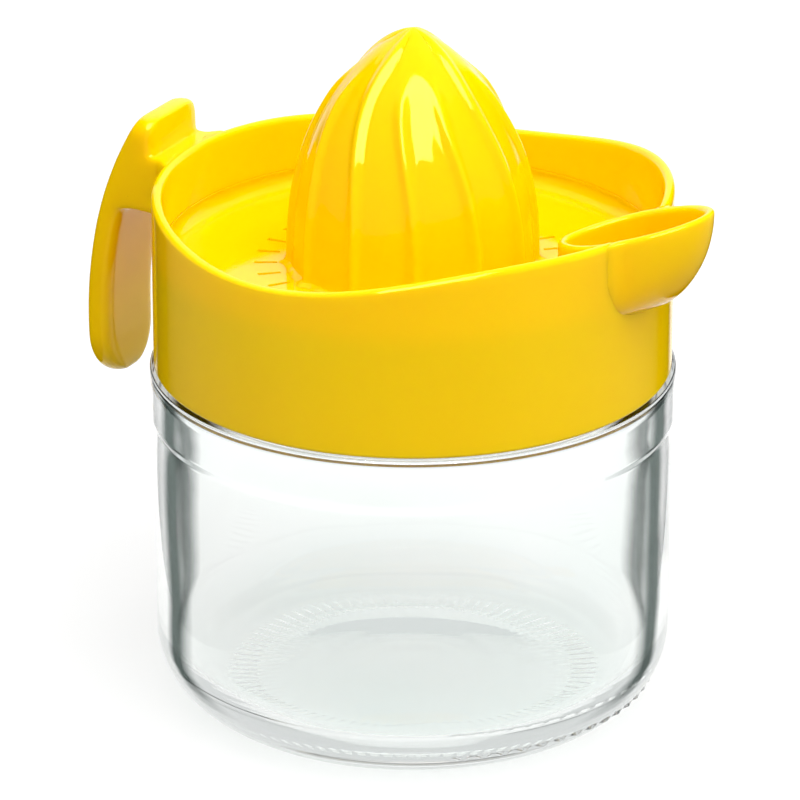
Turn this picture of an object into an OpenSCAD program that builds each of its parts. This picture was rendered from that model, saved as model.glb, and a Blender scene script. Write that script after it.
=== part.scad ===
// Citrus juicer: a glass jar, a screw collar with bowl, spout and handle, a lift-out reamer and a gasket.
// Millimetres. +Z is up, the origin is the middle of the jar's foot, the spout points along +X.

/* [Jar] */
// Radius of the neck under its thread
neck_r = 47.7; // [40:0.1:60]
// Wall of the neck
neck_wall = 3; // [2.4:0.1:4]
// Height of the shoulder above the foot
body_h = 71.6; // [55:0.1:110]
// Wall of the jar's body
jar_wall = 3; // [2:0.1:4.5]
// How far the straight panel stands out past the collar
panel_step = 0.45; // [0.2:0.05:2]
// How far the shoulder band stands out past the panel
band_step = 0.65; // [0.2:0.05:1.5]
// Height of the shoulder band
band_h = 9.6; // [5:0.1:14]
// Height of the taper between the panel and the band
band_taper = 5; // [2:0.1:8]
// Radius of the shoulder's edge
shoulder_round = 1.4; // [0.5:0.1:2]
// Radius of the heel, seen from the side
heel_r = 16; // [8:0.5:20]
// Width of the ring that the jar stands on
foot_w = 4; // [2:0.5:8]
// Rise of the push-up under the base
punt_rise = 2.5; // [1:0.1:4]
// Width of the slope that leads to the push-up
punt_slope = 3; // [2:0.5:6]
// Height of the jar's inner floor above the foot
base_t = 6.5; // [5.5:0.1:9]
// Radius where the inner floor meets the inner wall
inner_round = 11; // [5:0.5:14]
// Radius of the lip's edges
lip_round = 0.8; // [0.3:0.1:1.2]

/* [Thread] */
// Rise of the thread in one turn
thread_pitch = 5; // [4:0.1:6]
// Turns that the collar is screwed through
thread_turns = 1.25; // [0.75:0.05:1.5]
// Height of the thread above its wall
thread_depth = 1.5; // [1:0.1:2]
// Width of the thread at its foot
thread_w = 2.6; // [2:0.1:3]
// Width of the thread at its crest
thread_crest = 1.2; // [0.8:0.1:1.8]
// Radial room between a thread's crest and the wall it faces
thread_gap = 0.4; // [0.3:0.05:0.8]
// Plain neck above the jar's thread
thread_top = 2.75; // [2:0.05:5]
// Plain neck below the collar's thread
thread_foot = 2.6; // [2:0.1:6]

/* [Collar and bowl] */
// Wall of the collar and bowl
collar_wall = 2.2; // [1.6:0.1:3.2]
// Gap between the jar's shoulder and the collar's edge
skirt_gap = 0.8; // [0.4:0.1:2]
// Thickness of the ledge that presses on the gasket and carries the reamer
ledge_t = 2.5; // [1.5:0.1:4]
// How far the ledge reaches in past the lip
ledge_in = 1.2; // [0.5:0.1:3]
// Mean height of the rim above the strainer floor
bowl_depth = 14.4; // [11:0.1:22]
// Rise of the rim at the spout and fall at the handle
rim_wave_1 = 1.45; // [0:0.05:3]
// Rise of the rim at spout and handle and fall at the sides
rim_wave_2 = 2.35; // [0:0.05:4]
// Broadening of the rim's dips towards the handle
rim_wave_3 = -0.83; // [-2:0.01:0]
// Flattening of the rim's crests
rim_wave_4 = -0.85; // [-2:0.01:0]

/* [Gasket] */
// Thickness of the gasket
gasket_t = 1.5; // [1:0.1:3]
// Room between the gasket's outer edge and the collar
gasket_gap = 0.3; // [0.2:0.05:0.6]

/* [Spout] */
// How far the tip stands out past the collar
spout_out = 13.4; // [8:0.1:20]
// How far the throat reaches in from the collar's outside
spout_in = 19; // [14:0.1:21]
// Half the width of the spout at its widest
spout_half_w = 11.85; // [8:0.05:14]
// How far the widest place lies in from the collar's outside
spout_widest = 5; // [3:0.1:8]
// Slope of the spout's edge, in degrees
spout_tilt = 18.6; // [5:0.1:25]
// Height of the spout's edge above the rim, at the collar's outside
spout_lift = 0.85; // [0:0.05:3]
// Depth of the keel where it runs into the collar, below the spout's edge
spout_drop = 17.3; // [12:0.1:18]
// Wall of the spout
spout_wall = 2; // [1.2:0.1:3]

/* [Handle] */
// How far the handle stands out past the collar
handle_out = 19.3; // [14:0.1:30]
// Width of the handle
handle_w = 18.6; // [12:0.2:24]
// Thickness of the handle's strap
handle_t = 4.4; // [3:0.1:6]
// Radius of the strap's bow
handle_bow = 88.6; // [70:0.1:150]
// Height of the thumb rest above the rim
thumb_rise = 6.6; // [3:0.1:12]
// Length of the strap from the thumb rest's top to its free end
handle_len = 57; // [45:0.5:65]
// Distance from the thumb rest's top to where the strap stands upright
bow_drop = 44; // [35:0.5:55]
// Radius of the thumb rest's corners
thumb_round = 4; // [2:0.1:6]
// Height of the web between the strap and the bowl
web_h = 12; // [8:0.1:16]

/* [Reamer] */
// Thickness of the strainer floor
plate_t = 2; // [1.5:0.1:3]
// Room round the strainer floor
plate_gap = 0.4; // [0.3:0.05:0.8]
// Radius of the rise at the floor's edge
plate_round = 4; // [2:0.1:6]
// Thickness of the floor's raised edge
plate_lip = 0.8; // [0.5:0.1:1.5]
// Radius of the cone at its foot, over the ridges
cone_r = 25.2; // [20:0.1:28]
// Height of the cone
cone_h = 49; // [35:0.5:60]
// Wall of the cone under the valleys
cone_wall = 2; // [1.5:0.1:3]
// Height of the ridges
ridge_h = 1.5; // [0.8:0.1:2.5]
// Ridges that reach the tip
ridge_majors = 4; // [3:1:6]
// Angle through which the ridges swing
ridge_swing = 7; // [0:0.5:12]
// Width of a strainer slot
slot_w = 2; // [1.2:0.1:2.4]
// Length of a strainer slot
slot_len = 5.5; // [3:0.1:8]
// Distance from the cone's foot to the slots
slot_off = 2; // [1:0.1:4]
// Strainer slots in a full ring
slot_count = 30; // [18:1:36]

/* [Hidden] */
$fn = 96;
yellow = [1, 0.79, 0];
// How far a cut runs past the face that it opens
past = 1;

// Radii that the neck drives
mouth_r = neck_r - neck_wall;
bore_r = neck_r + thread_depth + thread_gap;
collar_r = bore_r + collar_wall;
panel_r = collar_r + panel_step;
band_r = panel_r + band_step;
inner_r = panel_r - jar_wall;
foot_r = panel_r - heel_r;
ledge_r = mouth_r - ledge_in;

// Levels from the foot upwards
neck_h = thread_top + (thread_turns + 0.5) * thread_pitch + thread_w / 2 + thread_foot;
lip_z = body_h + neck_h;
skirt_z = body_h + skirt_gap;
ledge_z = lip_z + gasket_t;
seat_z = ledge_z + ledge_t;
floor_z = seat_z + plate_t;
rim_z = floor_z + bowl_depth;
jar_thread_z = lip_z - thread_top - thread_turns * thread_pitch;
collar_thread_z = jar_thread_z - thread_pitch / 2;

// Spout frame: distances along X
tip_x = collar_r + spout_out;
throat_x = collar_r - spout_in;
widest_x = collar_r - spout_widest;
loop_points = 40;
loop_levels = 10;
level_ease = 1.5;
tip_power = 2;
throat_power = 1.6;
keel_power = 0.6;
keel_sharpen = 0.6;

// Handle frame: distances along -X, heights
rim_back_z = rim_height(180);
thumb_z = rim_back_z + thumb_rise;
bow_z = thumb_z - bow_drop;
bow_x = collar_r + handle_out - handle_bow;

// Ridges
ridge_minors = 2;
ridge_count = ridge_majors * (ridge_minors + 1);
ridge_steps = 8;
cone_rings = 22;
cone_power = 2.7;
cone_blunt = 0.8;
crest_power = 3;
swing_power = 1.5;
// Shares of the cone's height at which a minor ridge starts, and over which it fades in
minor_top = 0.86;
minor_fade = 0.12;
// Share of the cone's height at which its tip is closed
tip_share = 0.999;

// Points of an arc about [x, z], from angle a to angle b
function arc(x, z, r, a, b, n = 10) =
  [for (i = [0:n]) [x + r * cos(a + (b - a) * i / n), z + r * sin(a + (b - a) * i / n)]];

// Height of the bowl's rim at an angle round the axis, counted from the spout
function rim_height(a) =
  rim_z + rim_wave_1 * cos(a) + rim_wave_2 * cos(2 * a) + rim_wave_3 * cos(3 * a) + rim_wave_4 * cos(4 * a);

// Height of the plane that the spout's edge lies in
function loop_z(x) = rim_height(0) + spout_lift + tan(spout_tilt) * (x - collar_r);

// Share of its foot's radius that the cone has at a share t of its height
function ogive(t) = pow(max(0, 1 - pow(t, cone_power)), cone_blunt);

// A closed skin over rings of equal point counts, the first ring at the bottom
module skin(rings) {
  n = len(rings[0]);
  last = len(rings) - 1;
  points = [for (ring = rings) for (p = ring) p];
  sides = [for (k = [0:last - 1]) for (i = [0:n - 1])
    let (j = (i + 1) % n)
    each [[k * n + i, k * n + n + i, k * n + n + j], [k * n + i, k * n + n + j, k * n + j]]];
  foot = [for (i = [1:n - 2]) [0, i, i + 1]];
  top = [for (i = [1:n - 2]) [last * n, last * n + i + 1, last * n + i]];
  polyhedron(points = points, faces = concat(sides, foot, top));
}

// One thread: crest is its radius at the crest, foot its radius where it is sunk in its wall
module thread(crest, foot, z) {
  step = 7.5;
  count = floor(thread_turns * 360 / step);
  fade = 5;
  sunk = 0.3;
  base_half = thread_w / 2;
  crest_half = thread_crest / 2;
  function share(i) = min(1, (i + 1) / fade, (count - i + 1) / fade);
  wall = foot + (crest - foot) * sunk;
  function section(i) =
    let (a = i * thread_turns * 360 / count, m = z + i * thread_turns * thread_pitch / count)
    let (c = wall + (crest - wall) * share(i))
    let (pts = [[foot, -base_half], [foot, base_half], [c, crest_half], [c, -crest_half]])
    let (turn = crest > foot ? [0, 1, 2, 3] : [0, 3, 2, 1])
    [for (k = turn) [pts[k][0] * cos(a), pts[k][0] * sin(a), m + pts[k][1]]];
  skin([for (i = [0:count]) section(i)]);
}

// Plan of the spout at one level: shrink takes in the wall, tip and bulge shape the outer half
function spout_plan(shrink, tip, bulge) =
  [for (i = [0:loop_points - 1])
    let (a = 360 * i / loop_points, c = cos(a), s = sin(a), e = c > 0 ? bulge : throat_power)
    let (reach = c > 0 ? tip - shrink - widest_x : widest_x - throat_x - shrink)
    [widest_x + sign(c) * reach * pow(abs(c), 2 / e),
     sign(s) * (spout_half_w - shrink) * pow(abs(s), 2 / e)]];

// Levels of the spout as shares of the way from its edge down to the floor given
function spout_level(u, floor, keel, shrink) =
  let (k = min(1, u / keel), tip = collar_r + spout_out * pow(1 - k * k, keel_power))
  let (bulge = tip_power - keel_sharpen * pow(k, 3), inside = collar_r - collar_wall / 2 + shrink)
  [for (p = spout_plan(shrink, max(tip, inside), bulge))
    [p[0], p[1], loop_z(p[0]) * (1 - u) + floor * u]];

// Share of the way down at which the keel of a spout skin runs into the collar
function keel_share(floor, wall) = (spout_drop - wall) / (loop_z(collar_r) - floor);

// Shares of the way down at which a spout skin has its rings, from the keel's end up to the edge
function skin_levels(keel) =
  [for (k = [loop_levels:-1:0]) keel * (1 - pow(1 - k / loop_levels, level_ease))];

module scoop_outside() {
  keel = keel_share(ledge_z, 0);
  skin([for (u = concat([1], skin_levels(keel))) spout_level(u, ledge_z, keel, 0)]);
}

module scoop_inside() {
  floor = loop_z(collar_r) - spout_drop + spout_wall;
  keel = keel_share(floor, spout_wall);
  open = [for (p = spout_level(0, floor, keel, spout_wall)) [p[0], p[1], p[2] + spout_drop]];
  skin(concat([for (u = skin_levels(keel)) spout_level(u, floor, keel, spout_wall)], [open]));
}

// The throat's way down past the ledge into the jar
module throat_way() {
  intersection() {
    translate([0, 0, lip_z])
      linear_extrude(height = loop_z(throat_x) - lip_z)
        polygon(spout_plan(spout_wall, tip_x, tip_power));
    translate([0, 0, lip_z - past])
      cylinder(r = ledge_r, h = bowl_depth + gasket_t + ledge_t + plate_t);
  }
}

// Everything below the wavy surface that the rim lies in
module below_rim() {
  n = 72;
  far_r = collar_r + 2 * collar_wall;
  near_r = ledge_r - 2 * collar_wall;
  function ring(r, z) = [for (i = [0:n - 1]) [r * cos(360 * i / n), r * sin(360 * i / n), z]];
  function wave(r) = [for (i = [0:n - 1])
    let (a = 360 * i / n) [r * cos(a), r * sin(a), rim_height(a)]];
  skin([ring(far_r, skirt_z - past), wave(far_r), wave(near_r), ring(near_r / 2, rim_z - bowl_depth / 2)]);
}

module bowl_ring() {
  top = rim_z + bowl_depth;
  rotate_extrude()
    polygon([
      [bore_r, skirt_z],
      [collar_r, skirt_z],
      [collar_r, top],
      [bore_r, top],
      [bore_r, seat_z],
      [ledge_r, seat_z],
      [ledge_r, ledge_z],
      [bore_r, ledge_z]
    ]);
}

module handle() {
  low_z = thumb_z - handle_len;
  half = handle_w / 2;
  low_a = asin((low_z - past - bow_z) / handle_bow);
  top_a = asin((thumb_z + past - bow_z) / handle_bow);
  bow = concat(
    arc(bow_x, bow_z, handle_bow, low_a, top_a, 16),
    arc(bow_x, bow_z, handle_bow - handle_t, top_a, low_a, 16)
  );
  web_x = bow_x + sqrt(pow(handle_bow - handle_t / 2, 2) - pow(rim_back_z - web_h / 2 - bow_z, 2));
  rotate([0, 0, 180]) {
    intersection() {
      rotate([90, 0, 0])
        linear_extrude(height = handle_w + 2 * past, center = true)
          polygon(bow);
      rotate([90, 0, 90])
        linear_extrude(height = collar_r + handle_out + past)
          polygon(concat(
            arc(0, low_z + half, half, 180, 360, 20),
            arc(half - thumb_round, thumb_z - thumb_round, thumb_round, 0, 90, 8),
            arc(thumb_round - half, thumb_z - thumb_round, thumb_round, 90, 180, 8)
          ));
    }
    translate([collar_r - collar_wall / 2, -half, rim_back_z - web_h])
      cube([web_x - collar_r + collar_wall / 2, handle_w, web_h]);
  }
}

module glass_jar() {
  band_z = body_h - band_h;
  neck_fillet = 1;
  inside_z = body_h - band_h / 2;
  floor_r = inner_r - inner_round;
  color([0.82, 0.9, 0.88, 0.4]) {
    rotate_extrude()
      polygon(concat(
        [[0, punt_rise], [foot_r - foot_w - punt_slope, punt_rise], [foot_r - foot_w, 0]],
        arc(foot_r, heel_r, heel_r, 270, 360, 14),
        [[panel_r, band_z - band_taper], [band_r, band_z]],
        arc(band_r - shoulder_round, body_h - shoulder_round, shoulder_round, 0, 90, 6),
        arc(neck_r + neck_fillet, body_h + neck_fillet, neck_fillet, 270, 180, 6),
        arc(neck_r - lip_round, lip_z - lip_round, lip_round, 0, 90, 6),
        arc(mouth_r + lip_round, lip_z - lip_round, lip_round, 90, 180, 6),
        [[mouth_r, body_h + neck_fillet], [inner_r, inside_z]],
        arc(floor_r, base_t + inner_round, inner_round, 360, 270, 12),
        [[0, base_t]]
      ));
    thread(neck_r + thread_depth, neck_r - thread_depth / 2, jar_thread_z);
  }
}

module sealing_gasket() {
  color([0.93, 0.93, 0.9])
    translate([0, 0, lip_z])
      difference() {
        cylinder(r = bore_r - gasket_gap, h = gasket_t);
        translate([0, 0, -past])
          cylinder(r = mouth_r, h = gasket_t + 2 * past);
      }
}

module collar_bowl() {
  color(yellow) {
    difference() {
      union() {
        intersection() {
          bowl_ring();
          below_rim();
        }
        scoop_outside();
        handle();
      }
      scoop_inside();
      throat_way();
    }
    thread(bore_r - thread_depth, bore_r + thread_depth / 2, collar_thread_z);
  }
}

module cone_solid() {
  n = ridge_count * ridge_steps;
  function swing(t) = ridge_swing * sin(180 * pow(t, swing_power));
  function crest(i) = pow(0.5 + 0.5 * cos(360 * i / ridge_steps), crest_power);
  function is_major(i) = round(i / ridge_steps) % (ridge_minors + 1) == 0;
  function rise(i, t) = is_major(i) ? 1 : min(1, max(0, (minor_top - t) / minor_fade));
  function radius(i, t) =
    let (r = cone_r * ogive(t))
    r - min(ridge_h, r / 3) * (1 - crest(i) * rise(i, t));
  function ring(t, z) = [for (i = [0:n - 1])
    let (a = 360 * i / n - swing(t), r = radius(i, t))
    [r * cos(a), r * sin(a), z]];
  levels = [for (k = [0:cone_rings]) 1 - pow(1 - k / cone_rings, 2)];
  skin(concat(
    [ring(0, floor_z - plate_t / 2)],
    [for (t = levels) if (t < tip_share) ring(t, floor_z + cone_h * t)],
    [ring(tip_share, floor_z + cone_h)]
  ));
}

module cone_hollow() {
  foot = cone_r - ridge_h - cone_wall;
  height = cone_h - 2 * cone_wall;
  rings = 16;
  rotate_extrude()
    polygon(concat(
      [[0, seat_z - past], [foot, seat_z - past]],
      [for (k = [0:rings]) let (t = k / rings) [foot * ogive(t), floor_z + height * t]]
    ));
}

module reamer_strainer() {
  edge_r = bore_r - plate_gap;
  slot_r = cone_r + slot_off;
  notch_a = asin((spout_half_w + plate_gap + slot_w) / slot_r);
  color(yellow)
    difference() {
      union() {
        rotate_extrude()
          polygon(concat(
            [[0, seat_z], [edge_r, seat_z], [edge_r, floor_z + plate_round]],
            arc(edge_r - plate_lip - plate_round, floor_z + plate_round, plate_round, 360, 270, 8),
            [[0, floor_z]]
          ));
        cone_solid();
      }
      cone_hollow();
      translate([0, 0, seat_z - past])
        linear_extrude(height = plate_t + plate_round + 2 * past)
          polygon(spout_plan(-plate_gap, tip_x, tip_power));
      for (i = [0:slot_count - 1])
        let (a = 360 * (i + 0.5) / slot_count)
        if (a > notch_a && a < 360 - notch_a)
          rotate([0, 0, a])
            translate([slot_r, -slot_w / 2, seat_z - past])
              cube([slot_len, slot_w, plate_t + 2 * past]);
    }
}

glass_jar();
sealing_gasket();
collar_bowl();
reamer_strainer();
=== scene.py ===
"""The looks of a citrus juicer: jar, gasket, screw collar, spout, handle, reamer and strainer floor."""

import math

import bmesh
import bpy
from bmesh.types import BMEdge, BMFace, BMVert
from bpy.props import FloatProperty, FloatVectorProperty, IntProperty, PointerProperty
from mathutils import Matrix, Vector, noise


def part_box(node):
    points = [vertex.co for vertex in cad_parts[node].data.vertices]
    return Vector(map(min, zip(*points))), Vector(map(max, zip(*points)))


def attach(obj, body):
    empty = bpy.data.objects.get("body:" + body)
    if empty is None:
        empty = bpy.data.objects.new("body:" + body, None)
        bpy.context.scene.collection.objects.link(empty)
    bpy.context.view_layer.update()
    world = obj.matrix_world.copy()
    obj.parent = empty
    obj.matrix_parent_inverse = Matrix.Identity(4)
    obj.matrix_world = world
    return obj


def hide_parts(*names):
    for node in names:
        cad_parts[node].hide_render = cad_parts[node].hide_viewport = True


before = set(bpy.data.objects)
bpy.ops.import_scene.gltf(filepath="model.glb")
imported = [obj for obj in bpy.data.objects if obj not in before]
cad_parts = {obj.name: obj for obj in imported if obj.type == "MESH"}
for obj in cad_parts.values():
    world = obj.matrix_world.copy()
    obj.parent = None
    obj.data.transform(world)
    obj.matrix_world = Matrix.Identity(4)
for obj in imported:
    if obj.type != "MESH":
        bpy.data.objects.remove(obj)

bl_info = {
    "name": "Citrus juicer",
    "version": (1, 0, 0),
    "blender": (4, 5, 0),
    "location": "3D View > Sidebar > Juicer",
    "description": "Builds a citrus juicer on a glass jar, with its materials and its stage",
    "category": "Object",
}

MM = 0.001
HALF_TURN = math.pi
FULL_TURN = math.tau
# Distance within which two places count as one
MERGE = 0.000002
# Angle between the points of a rounding, and angle from which an edge is shaded sharp
ARC_STEP = math.radians(6)
SHARP = math.radians(40)
# Rounding of the throat end of the spout's outline, where 2 is an ellipse
THROAT_POWER = 1.6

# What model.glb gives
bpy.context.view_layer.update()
jar_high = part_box("glass_jar")[1]
gasket_low, gasket_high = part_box("sealing_gasket")
collar_low, collar_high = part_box("collar_bowl")
reamer_low, reamer_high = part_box("reamer_strainer")


# Sizes and colours that a user would change


def length(name, text, size):
    """A size, shown in the scene's units."""
    return FloatProperty(name=name, description=text, default=size, unit="LENGTH", precision=5)


def angle(name, text, degrees):
    """An angle, shown in degrees."""
    return FloatProperty(name=name, description=text, default=math.radians(degrees), subtype="ANGLE")


def number(name, text, value):
    """A plain number."""
    return FloatProperty(name=name, description=text, default=value)


def count(name, text, value):
    """A whole number."""
    return IntProperty(name=name, description=text, default=value, min=1)


def colour(name, text, value):
    """A colour in linear values."""
    return FloatVectorProperty(name=name, description=text, default=value, subtype="COLOR", min=0, max=1)


class JarSizes(bpy.types.PropertyGroup):
    """Sizes of the pressed glass jar."""

    band_r: length("Band radius", "Radius of the band under the shoulder", jar_high.y - 0.3 * MM)
    lip_z: length("Lip height", "Height of the lip above the foot", jar_high.z)
    shoulder_z: length("Shoulder height", "Height of the shoulder above the foot", 71.8 * MM)
    neck_r: length("Neck radius", "Radius of the neck under its thread", 47.7 * MM)
    neck_wall: length("Neck wall", "Thickness of the neck's wall", 3 * MM)
    wall: length("Wall", "Thickness of the body's wall", 3 * MM)
    band_step: length("Band step", "How far the band stands out past the panel", 0.65 * MM)
    band_h: length("Band height", "Height of the band", 9.6 * MM)
    band_taper: length("Band taper", "Height of the taper under the band", 1.6 * MM)
    heel_r: length("Heel radius", "Radius of the heel seen from the side", 16 * MM)
    foot_w: length("Foot width", "Width of the ring that the jar stands on", 4 * MM)
    punt_rise: length("Push-up rise", "Rise of the push-up under the base", 2.2 * MM)
    punt_slope: length("Push-up slope", "Width of the slope that leads to the push-up", 18 * MM)
    base_t: length("Base height", "Height of the inner floor above the foot", 6.5 * MM)
    inner_round: length("Inner rounding", "Radius where the inner floor meets the wall", 11 * MM)
    knurl_count: count("Foot bars", "Raised bars round the ring that the jar stands on", 90)
    knurl_rise: length("Foot bar height", "Height of those bars", 0.2 * MM)
    dot_count: count("Heel dots", "Raised dots along the heel", 15)
    dot_rise: length("Heel dot height", "Height of those dots", 0.45 * MM)
    dot_r: length("Heel dot radius", "Radius of those dots", 1.5 * MM)
    ripple: length("Ripple", "Unevenness of the pressed walls", 0.16 * MM)


class ThreadSizes(bpy.types.PropertyGroup):
    """Sizes of the screw thread that jar and collar share."""

    pitch: length("Pitch", "Rise of the thread in one turn", 5 * MM)
    turns: number("Turns", "Turns that the collar is screwed through", 1.25)
    depth: length("Depth", "Height of the thread above its wall", 1.4 * MM)
    width: length("Width", "Width of the thread at its foot", 2.6 * MM)
    jar_z: length("Jar start", "Height at which the jar's thread starts", 78 * MM)
    collar_z: length("Collar start", "Height at which the collar's thread starts", 75.5 * MM)


class CollarSizes(bpy.types.PropertyGroup):
    """Sizes of the screw collar and of the bowl above it."""

    radius: length("Radius", "Outer radius of collar and bowl", collar_high.y)
    wall: length("Wall", "Thickness of the wall", 2.2 * MM)
    skirt_z: length("Skirt height", "Height of the collar's lower edge", 72.05 * MM)
    ledge_r: length("Ledge radius", "Inner radius of the ledge over the jar's lip", 43.5 * MM)
    rim_z: length("Rim height", "Mean height of the bowl's rim", 107.4 * MM)
    hold_z: length("Wave foot", "Height below which the rim's wave moves nothing", 98 * MM)
    wave_1: length("Wave 1", "Rise of the rim at the spout and fall at the handle", 1.45 * MM)
    wave_2: length("Wave 2", "Rise of the rim at spout and handle and fall at the sides", 2.35 * MM)
    wave_3: length("Wave 3", "Broadening of the rim's dips", -0.83 * MM)
    wave_4: length("Wave 4", "Flattening of the rim's crests", -0.85 * MM)


class SpoutSizes(bpy.types.PropertyGroup):
    """Sizes of the pouring spout."""

    tip_x: length("Tip", "Distance of the tip from the axis", collar_high.x)
    throat_x: length("Throat", "Distance of the throat's inner end from the axis", 32.8 * MM)
    widest_x: length("Widest place", "Distance of the widest place from the axis", 46.8 * MM)
    half_w: length("Half width", "Half the spout's width", 11.85 * MM)
    tilt: angle("Tilt", "Slope of the spout's edge", 18.6)
    lift: length("Lift", "Height of the edge above the rim, at the wall", 0.85 * MM)
    drop: length("Drop", "Depth of the keel where it runs into the wall", 17.3 * MM)
    wall: length("Wall", "Thickness of the spout's wall", 2 * MM)
    fillet: length("Fillet", "Radius where the spout meets the wall", 2.4 * MM)


class HandleSizes(bpy.types.PropertyGroup):
    """Sizes of the handle."""

    reach: length("Reach", "Distance of the strap's outside from the axis", -collar_low.x - 0.42 * MM)
    top_z: length("Top", "Height of the thumb rest", collar_high.z)
    low_z: length("Free end", "Height of the strap's free end", collar_low.z)
    width: length("Width", "Width of the strap", 18.6 * MM)
    thickness: length("Thickness", "Thickness of the strap", 4.4 * MM)
    bow: length("Bow", "Radius of the strap's bow", 88.6 * MM)
    bow_drop: length("Bow drop", "Distance from the top to where the strap is upright", 44 * MM)
    corner: length("Corner", "Radius of the thumb rest's corners", 3.4 * MM)
    edge: length("Edge", "Rounding of the strap's edges", 1.3 * MM)
    thumb_x: length("Thumb rest", "Distance of the thumb rest's inner face from the axis", 54.4 * MM)
    grow: length("Allowance", "What the cage stands out, for the smoothing to take off again", 0.45 * MM)
    web_h: length("Web height", "Height of the web between strap and bowl", 12 * MM)
    fillet: length("Fillet", "Radius where the web meets the wall", 2.4 * MM)


class ReamerSizes(bpy.types.PropertyGroup):
    """Sizes of the reamer cone and the strainer floor."""

    edge_r: length("Floor radius", "Outer radius of the strainer floor", reamer_high.y + 0.3 * MM)
    floor_t: length("Floor thickness", "Thickness of the strainer floor", 2 * MM)
    floor_round: length("Floor rounding", "Radius of the rise at the floor's edge", 3.6 * MM)
    floor_lip: length("Floor lip", "Thickness of the floor's raised edge", 0.16 * MM)
    gap: length("Gap", "Room between the floor and the spout's throat", 0.4 * MM)
    cone_r: length("Cone radius", "Radius of the cone at its foot, over the ridges", 25.2 * MM)
    cone_wall: length("Cone wall", "Thickness of the cone under the valleys", 2 * MM)
    power: number("Cone power", "How long the cone stays straight before it closes", 2.4)
    blunt: number("Cone bluntness", "How blunt the tip is", 0.7)
    ridge_h: length("Ridge height", "Height of the ridges", 1.15 * MM)
    ridge_w: length("Ridge width", "Half the width of a ridge", 1.9 * MM)
    majors: count("Long ridges", "Ridges that reach the tip", 4)
    swing: angle("Swing", "Angle through which the ridges swing", 10.8)
    foot_round: length("Cone fillet", "Radius where the cone meets the floor", 1.5 * MM)
    slot_r: length("Slot start", "Distance of the slots from the axis", 26.9 * MM)
    slot_len: length("Slot length", "Length of a slot", 4.6 * MM)
    slot_count: count("Slots", "Slots in a full ring", 30)
    slot_a: angle("Slot width", "Angle that a slot takes up", 2)


class GasketSizes(bpy.types.PropertyGroup):
    """Sizes of the sealing gasket."""

    radius: length("Radius", "Outer radius of the gasket", gasket_high.y)
    bore_r: length("Bore", "Inner radius of the gasket", 44.7 * MM)
    edge: length("Edge", "Rounding of the gasket's edges", 0.35 * MM)


class Finishes(bpy.types.PropertyGroup):
    """Colours of the materials."""

    yellow: colour("Yellow", "Moulded plastic", (0.975, 0.605, 0.0))
    yellow_deep: colour("Deep yellow", "Moulded plastic where its pigment is denser", (0.955, 0.58, 0.0))
    glass: colour("Glass", "Clear glass", (0.97, 0.985, 0.98))
    # Colour of the greener streaks, and also of the painted glow that ends rays caught inside the glass
    glass_tint_and_glow: colour("Glass tint", "Clear glass in its greener streaks", (0.94, 0.975, 0.965))
    # Painted shade: the dark colour that the glass takes along its upright edges, in place of dark
    # surroundings seen through it
    glass_painted_edge: colour("Glass edge", "Clear glass where it is seen along its wall", (0.16, 0.19, 0.18))
    glass_shadow: colour("Glass shadow", "What clear glass lets through to the floor", (0.9, 0.93, 0.92))
    rubber: colour("Rubber", "Milky silicone", (0.78, 0.78, 0.74))
    rubber_deep: colour("Rubber shade", "Milky silicone where dust sticks", (0.68, 0.68, 0.64))
    floor: colour("Floor", "Pale floor", (0.92, 0.92, 0.92))


class StageSizes(bpy.types.PropertyGroup):
    """Where camera and lamps stand."""

    azimuth: angle("Azimuth", "Camera's angle round the object", 28.5)
    elevation: angle("Elevation", "Camera's angle above the horizon", 22.24)
    distance: length("Distance", "Camera's distance from the point it looks at", 1.2)
    aim_z: length("Aim", "Height of the point it looks at", 70 * MM)
    lens: number("Lens", "Focal length in millimetres on a 36 mm sensor", 269.9)
    shift_x: number("Shift across", "Camera shift across", -0.0161)
    shift_y: number("Shift up", "Camera shift up", -0.0401)
    lamp_size: length("Lamp size", "Width of the soft lamps", 0.7)
    box_size: length("Box size", "Width of the soft box", 0.7)
    lamp_distance: length("Lamp distance", "Distance of the soft lamps", 0.9)
    top_power: number("Top power", "Power of the overhead lamp in watts", 5.8)
    key_power: number("Key power", "Power of the lamp to the right of the camera in watts", 2.8)
    rear_power: number("Rear power", "Power of the lamp behind the object in watts", 2.4)
    box_power: number("Box power", "Power of the soft box that only reflections show, in watts", 36)
    world: number("Surroundings", "Strength of the light from all round", 0.8)
    floor_glow: number("Floor glow", "What the floor gives off towards the camera", 0.66)
    card_off: length("Card distance", "Distance of the dark cards from the axis", 0.089)


GROUPS = {
    "juicer_jar": JarSizes,
    "juicer_thread": ThreadSizes,
    "juicer_collar": CollarSizes,
    "juicer_spout": SpoutSizes,
    "juicer_handle": HandleSizes,
    "juicer_reamer": ReamerSizes,
    "juicer_gasket": GasketSizes,
    "juicer_finish": Finishes,
    "juicer_stage": StageSizes,
}


# Shapes


def rounded(corners):
    """Points of an outline given by corners of (radius, height, rounding)."""
    points = []
    last = len(corners) - 1
    for i, (r, z, rounding) in enumerate(corners):
        here = Vector((r, z))
        if rounding == 0:
            points.append(here)
            continue
        before = (Vector(corners[i - 1][:2]) - here).normalized()
        after = (Vector(corners[0 if i == last else i + 1][:2]) - here).normalized()
        half = before.angle(after) / 2
        reach = rounding / math.tan(half)
        centre = here + (before + after).normalized() * rounding / math.sin(half)
        start = here + before * reach - centre
        end = here + after * reach - centre
        steps = max(2, math.ceil((HALF_TURN - 2 * half) / ARC_STEP))
        points += [centre + start.slerp(end, k / steps) * rounding for k in range(steps + 1)]
    return points


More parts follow.
